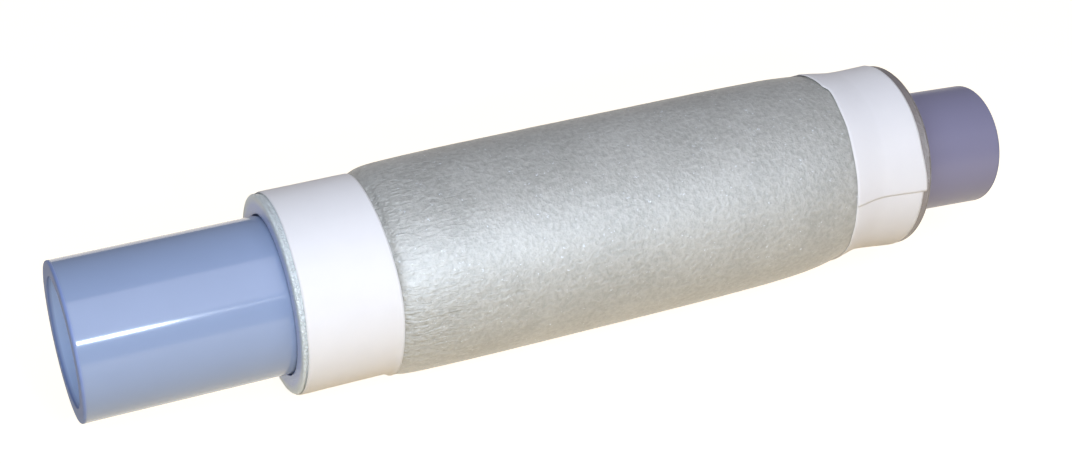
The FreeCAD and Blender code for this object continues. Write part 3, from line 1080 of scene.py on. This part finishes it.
@dataclass
class FoamSleeve:
    """The foam tube, with its pebbled skin, its wrinkles next to the large tape and its two cut ends.

    Attributes:
        node: the solid that it stands for
        bore_large: radius of its bore on the hose, in millimetres
        bore_small: radius of its bore on the small cuff
        cone_start: where the bore starts to narrow
        cuff_depth: how far the narrow bore starts from the small end
        mouth_depth: how far the bore's widening starts from the small end
        mouth: how far the bore widens
        lip: how far the soft foam swells over the bore's edge at the large end
        lip_reach: how far inside the large end that swelling starts
        edge: radius to which the soft cut edges are rounded
        corner: how far the bore's own edges are taken off
        shoulder_end: where the finely divided shoulder ends, past the band
        neck_start: where the neck's finer cross-sections start, along +X
        steps: how many cross-sections the band, the shoulder, the bulge and the neck have
        finish: its finish
    """

    node: str = "foam_sleeve"
    bore_large: float = 17.5
    bore_small: float = 14.5
    cone_start: float = 147.2
    cuff_depth: float = 25.0
    mouth_depth: float = 4.0
    mouth: float = 0.7
    lip: float = 1.2
    lip_reach: float = 4.0
    edge: float = 0.6
    corner: float = 0.1
    shoulder_end: float = 8.0
    neck_start: float = 128.0
    steps: tuple[int, int, int, int] = (14, 24, 90, 96)
    finish: CellFoam = FOAM

    def sections(self) -> list[Station]:
        """Give the sleeve's cross-sections: skin, small end, bore and large end.

        Returns:
            The closed row.
        """
        line, cut = OUTLINE, Surface.CUT
        bounds = (line.start + self.edge, line.band_end, line.band_end + self.shoulder_end, self.neck_start,
                  line.end - self.edge)
        places = bounds[:1] + tuple(
            x for low, high, steps in zip(bounds, bounds[1:], self.steps) for x in spaced(low, high, steps)[1:])
        skin = [line.at(x) for x in places]
        rim = line.waist + line.flare
        mouth = self.bore_small + self.mouth
        rounding = [(self.edge * (1 - math.sin(turn)), self.edge * (1 - math.cos(turn)))
                    for turn in spaced(math.radians(15), math.radians(90), 5)]
        small_end = [line.on_foam_end(inside, rim - lower, cut) for inside, lower in rounding]
        small_end += [line.on_small_axis(0.0, radius, cut)
                      for radius in spaced(rim - 1.5, mouth + self.corner, 4)]
        bore = [line.on_small_axis(self.corner, mouth, cut)]
        bore += [line.on_small_axis(depth, self.bore_small, cut)
                 for depth in [self.mouth_depth] + spaced(2 * self.mouth_depth, self.cuff_depth, 4)]
        bore += [Station(x, 0.0, 0.0, self.bore_large, cut)
                 for x in spaced(self.cone_start, line.start + self.lip_reach, 30)]
        bore += [Station(line.start + self.corner + depth, 0.0, 0.0,
                         self.bore_large - self.lip * (1 - depth / self.lip_reach), cut)
                 for depth in (3.0, 2.0, 1.0, 0.5, 0.0)]
        large_end = [Station(line.start, 0.0, 0.0, radius, cut)
                     for radius in spaced(self.bore_large - self.lip + self.corner,
                                          line.band - self.edge - self.corner, 5)]
        large_end += [Station(line.start + inside, 0.0, 0.0, line.band - lower, cut)
                      for inside, lower in reversed(rounding)]
        loop = skin + small_end + bore + large_end
        return loop + loop[:1]

    def build(self) -> bpy.types.Object:
        """Make the sleeve and put it in the solid's place.

        Returns:
            The piece.
        """
        bodies = RoundBody(around=320, relief=0.12, relief_size=4.0, wrinkle=0.2,
                           lying_height=OUTLINE.lying_height)
        piece = bodies.turn(f"{self.node}_look", self.sections(), self.finish.build())
        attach(piece, BODY)
        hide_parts(self.node)
        return piece


@dataclass
class Tape:
    """One strip of tape wound round the foam for a full turn and a lap over its own start.

    Attributes:
        node: the solid that it stands for
        near: where its edge towards the large pipe lies, by degrees along the strip: pairs of angle and x
        far: the same for its edge towards the small pipe
        starts: where the strip starts, in degrees from straight down towards +Y
        lap: degrees over which it lies on itself
        thickness: one layer, in millimetres
        climb: degrees that it takes to climb on to its own start
        glue: how far it lies off what it sticks to, in millimetres
        edge_film: share of the film that is left at its edge, where it presses into the foam
        edge_reach: over how many millimetres in from its edge the film would grow from nothing to full
        pucker: how far the film stands in small waves, in millimetres
        pucker_width: how wide those waves are across the tape, in millimetres
        pucker_round: how many there are to a metre round the sleeve
        pucker_from: how far in from its edge they are full, in millimetres
        steps_across: how many steps go across it
        steps_along: how many steps go along it
    """

    node: str
    near: tuple[tuple[float, float], ...]
    far: tuple[tuple[float, float], ...]
    starts: float
    lap: float = 110.0
    thickness: float = 0.2
    climb: float = 4.0
    glue: float = 0.01
    edge_film: float = 0.25
    edge_reach: float = 0.35
    pucker: float = 0.05
    pucker_width: float = 5.0
    pucker_round: float = 160.0
    pucker_from: float = 2.5
    steps_across: int = 40
    steps_along: int = 330

    @staticmethod
    def follow(points: tuple[tuple[float, float], ...], angle: float) -> float:
        """Read an edge's place at an angle along the strip, softly between its points.

        Args:
            points: pairs of angle and x
            angle: degrees along the strip

        Returns:
            The place x, in millimetres.
        """
        for (low, start), (high, end) in zip(points, points[1:]):
            if angle <= high:
                return start + (end - start) * smooth_step(low, high, angle)
        return points[-1][1]

    def strip_section(self, run: float) -> list[Vector]:
        """Give the strip's closed cross-section at an angle along it.

        Args:
            run: degrees from the strip's start

        Returns:
            Its points, along the inside and back along the outside, in metres.
        """
        angle = self.starts + run
        near, far = self.follow(self.near, run), self.follow(self.far, run)
        lift = self.thickness * smooth_step(360 - self.climb, 360, run) + self.glue
        full_film = self.thickness - 2 * self.glue
        across = spaced(0.0, 1.0, self.steps_across)
        sides = []
        for outside in (False, True):
            points = []
            for share in (reversed(across) if outside else across):
                x = near + (far - near) * share
                station = OUTLINE.at(x)
                from_edge = min(share, 1 - share) * (far - near)
                film = full_film * min(1.0, self.edge_film + from_edge / self.edge_reach) if outside else 0.0
                place = station.point(angle, lift)
                wave = self.pucker * noise.noise(Vector((
                    x / self.pucker_width, place.y * self.pucker_round, place.z * self.pucker_round)))
                wave *= smooth_step(0.0, self.pucker_from, from_edge)
                points.append(station.point(angle, lift + film + max(wave, 0.0) * outside))
            sides += points
        return sides

    def build(self, material: bpy.types.Material) -> bpy.types.Object:
        """Wind the strip and put it in the solid's place.

        Args:
            material: the tape's material, one for both strips

        Returns:
            The piece.
        """
        runs = spaced(0.0, 360.0 + self.lap, self.steps_along)
        rings = [self.strip_section(run) for run in runs]
        count = len(rings[0])
        faces = [
            (ring * count + step, ring * count + (step + 1) % count,
             (ring + 1) * count + (step + 1) % count, (ring + 1) * count + step)
            for ring in range(len(rings) - 1) for step in range(count)]
        faces += [tuple(range(count)), tuple(range((len(rings) - 1) * count, len(rings) * count))[::-1]]
        mesh = bpy.data.meshes.new(f"{self.node}_look")
        mesh.from_pydata([tuple(point) for ring in rings for point in ring], [], faces)
        piece = finish_mesh(f"{self.node}_look", mesh, material)
        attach(piece, BODY)
        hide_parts(self.node)
        return piece


LARGE_PIPE = Pipe(
    "large_pipe", outer=16.0, wall=3.1, exposed=41.4, length=91.0, round_outside=0.4, on_small_axis=False,
    finish=LARGE_PVC)
SMALL_PIPE = Pipe(
    "small_pipe", outer=13.0, wall=2.7, exposed=22.4, length=46.4, round_outside=0.7, on_small_axis=True,
    finish=SMALL_PVC)
LARGE_TAPE = Tape(
    "large_end_tape", starts=330.0,
    near=((0.0, 42.2), (30.0, 42.2), (120.0, 42.4), (210.0, 43.0), (260.0, 42.7), (300.0, 42.4),
          (340.0, 42.2), (390.0, 42.2), (470.0, 42.3)),
    far=((0.0, 62.4), (30.0, 62.6), (150.0, 60.9), (210.0, 60.4), (300.0, 61.8), (390.0, 62.7),
         (470.0, 62.0)))
SMALL_TAPE = Tape(
    "small_end_tape", starts=155.0,
    near=((0.0, 166.0), (28.0, 164.6), (70.0, 162.9), (110.0, 162.4), (127.0, 162.6), (145.0, 163.2),
          (165.0, 163.0), (300.0, 162.6), (388.0, 163.0), (392.0, 163.6), (415.0, 162.9), (440.0, 162.4),
          (470.0, 162.4)),
    far=((0.0, 178.4), (110.0, 179.3), (150.0, 179.5), (240.0, 179.4), (350.0, 179.4), (390.0, 179.0),
         (440.0, 179.0), (470.0, 180.0)))


# Floor, light and camera


@dataclass(frozen=True)
class Lamp:
    """A rectangular lamp.

    Attributes:
        name: its name
        place: where it hangs, in metres
        aim: the point that it shines at, in metres
        size: its width and height in metres
        power: its power in watts
        colour: its light, sRGB hex
        mirrors: whether it shows in glossy surfaces
        foam_only: whether it only mirrors, and only in the foam
    """

    name: str
    place: tuple[float, float, float]
    aim: tuple[float, float, float]
    size: tuple[float, float]
    power: float
    colour: str = "#FFFFFF"
    mirrors: bool = True
    foam_only: bool = False

    def hang(self, foam: bpy.types.Object) -> None:
        """Add the lamp to the scene.

        Args:
            foam: the foam sleeve, for a lamp that only mirrors in it
        """
        data = bpy.data.lights.new(self.name, "AREA")
        data.shape = "RECTANGLE"
        data.size, data.size_y = self.size
        data.energy = self.power
        data.color = srgb(self.colour)[:3]
        lamp = bpy.data.objects.new(self.name, data)
        lamp.location = self.place
        lamp.rotation_euler = (Vector(self.aim) - Vector(self.place)).to_track_quat("-Z", "Y").to_euler()
        lamp.visible_glossy = self.mirrors
        bpy.context.scene.collection.objects.link(lamp)
        if self.foam_only:
            mirrored_in = bpy.data.collections.new(f"{self.name}_mirrors_in")
            mirrored_in.objects.link(foam)
            lamp.visible_diffuse = False
            lamp.light_linking.receiver_collection = mirrored_in


MIDDLE = (0.1, 0.0, 0.0)
LAMPS = (
    # Large soft boxes light the part, and don't mirror in the glossy pipe.
    Lamp("front_box", (-0.1, -0.29, 0.17), MIDDLE, (0.25, 0.2), 0.78, "#DAE7FB", mirrors=False),
    Lamp("right_box", (0.3, -0.3, 0.25), (0.18, 0.0, 0.0), (0.2, 0.2), 0.4, "#EEF0FF", mirrors=False),
    Lamp("back_box", (0.1, 0.6, 0.25), MIDDLE, (0.6, 0.4), 0.95, mirrors=False),
    Lamp("low_card", (0.0, -0.5, 0.03), (0.08, 0.0, 0.0), (0.4, 0.1), 0.05, "#FFCB80", mirrors=False),
    # A small flash next to the camera mirrors in the pipe as a bright streak.
    Lamp("flash", (0.054, -0.352, 0.19), (0.06, 0.0, 0.0), (0.035, 0.005), 0.36, "#E6F2FF"),
    # A box that only mirrors, and only in the foam, lays the soft sheen there.
    Lamp("sheen_box", (0.08, -0.37, 0.18), (0.08, 0.0, 0.0), (0.12, 0.3), 4.1, "#DCEAF8", foam_only=True),
    # A card overhead mirrors as the pipe's broad glow, and a dim line beside the flash as the streak's tail.
    Lamp("glow_card", (0.1, -0.2, 0.346), (0.07, 0.0, 0.0), (0.16, 0.4), 0.4, "#F2EEF6"),
    Lamp("flash_rim", (0.1, -0.352, 0.19), MIDDLE, (0.07, 0.0015), 0.014),
)


@dataclass
class Studio:
    """A paper sheet that the camera sees white, soft boxes, and a small bright flash next to the camera.

    Attributes:
        foam: the foam sleeve, which has a lamp of its own
        lamps: what lights the part
        sky: the world's light, sRGB hex
        sky_strength: how strong it is
        camera_place: where the camera stands, in metres
        camera_looks: the direction in which it looks
        lens: its focal length in millimetres
        sensor: its sensor's width in millimetres
        nearest: how near to it a thing is still seen, in metres
        floor_half: half the sheet's length and width in metres
    """

    foam: bpy.types.Object
    lamps: tuple[Lamp, ...] = LAMPS
    sky: str = "#E4E8FA"
    sky_strength: float = 0.2
    camera_place: tuple[float, float, float] = (-0.0403, -0.3223, 0.2197)
    camera_looks: tuple[float, float, float] = (0.335, 0.779, -0.5296)
    lens: float = 67.1
    sensor: float = 36.0
    nearest: float = 0.01
    floor_half: float = 3.0

    def build(self) -> None:
        """Make the floor, the world, the lamps and the camera."""
        self.add_floor()
        world = bpy.data.worlds.new("studio")
        world.use_nodes = True
        background = world.node_tree.nodes["Background"]
        background.inputs["Color"].default_value = srgb(self.sky)
        background.inputs["Strength"].default_value = self.sky_strength
        bpy.context.scene.world = world
        for lamp in self.lamps:
            lamp.hang(self.foam)
        self.add_camera()
        bpy.context.scene.view_settings.view_transform = "Standard"

    def add_camera(self) -> None:
        """Stand the camera where the photograph was taken from."""
        data = bpy.data.cameras.new("camera")
        data.lens = self.lens
        data.sensor_width = self.sensor
        data.clip_start = self.nearest
        camera = bpy.data.objects.new("camera", data)
        camera.location = self.camera_place
        camera.rotation_euler = Vector(self.camera_looks).to_track_quat("-Z", "Y").to_euler()
        bpy.context.scene.collection.objects.link(camera)
        bpy.context.scene.camera = camera

    def add_floor(self) -> None:
        """Lay the paper sheet under the part."""
        half, low = self.floor_half, -OUTLINE.lying_height * MM
        mesh = bpy.data.meshes.new("floor")
        mesh.from_pydata([(-half, -half, low), (half, -half, low), (half, half, low), (-half, half, low)],
                         [], [(0, 1, 2, 3)])
        mesh.materials.append(PAPER.build())
        floor = bpy.data.objects.new("floor", mesh)
        bpy.context.scene.collection.objects.link(floor)


def report(piece: bpy.types.Object) -> None:
    """Log a piece's name and its number of faces."""
    log.info("%s: %d faces", piece.name, len(piece.data.polygons))


def main() -> None:
    """Build every piece in order, then the studio."""
    logging.basicConfig(level=logging.INFO, format="%(name)s: %(message)s")
    bodies = RoundBody()
    for pipe, slot in ((LARGE_PIPE, "grey_pvc"), (SMALL_PIPE, "dark_grey_pvc")):
        piece = pipe.build(bodies)
        report(piece)
    report(ReducingHose().build())
    foam = FoamSleeve().build()
    report(foam)
    white = TAPE.build()
    for tape in (LARGE_TAPE, SMALL_TAPE):
        piece = tape.build(white)
        report(piece)
    Studio(foam).build()


if __name__ == "__main__":
    main()
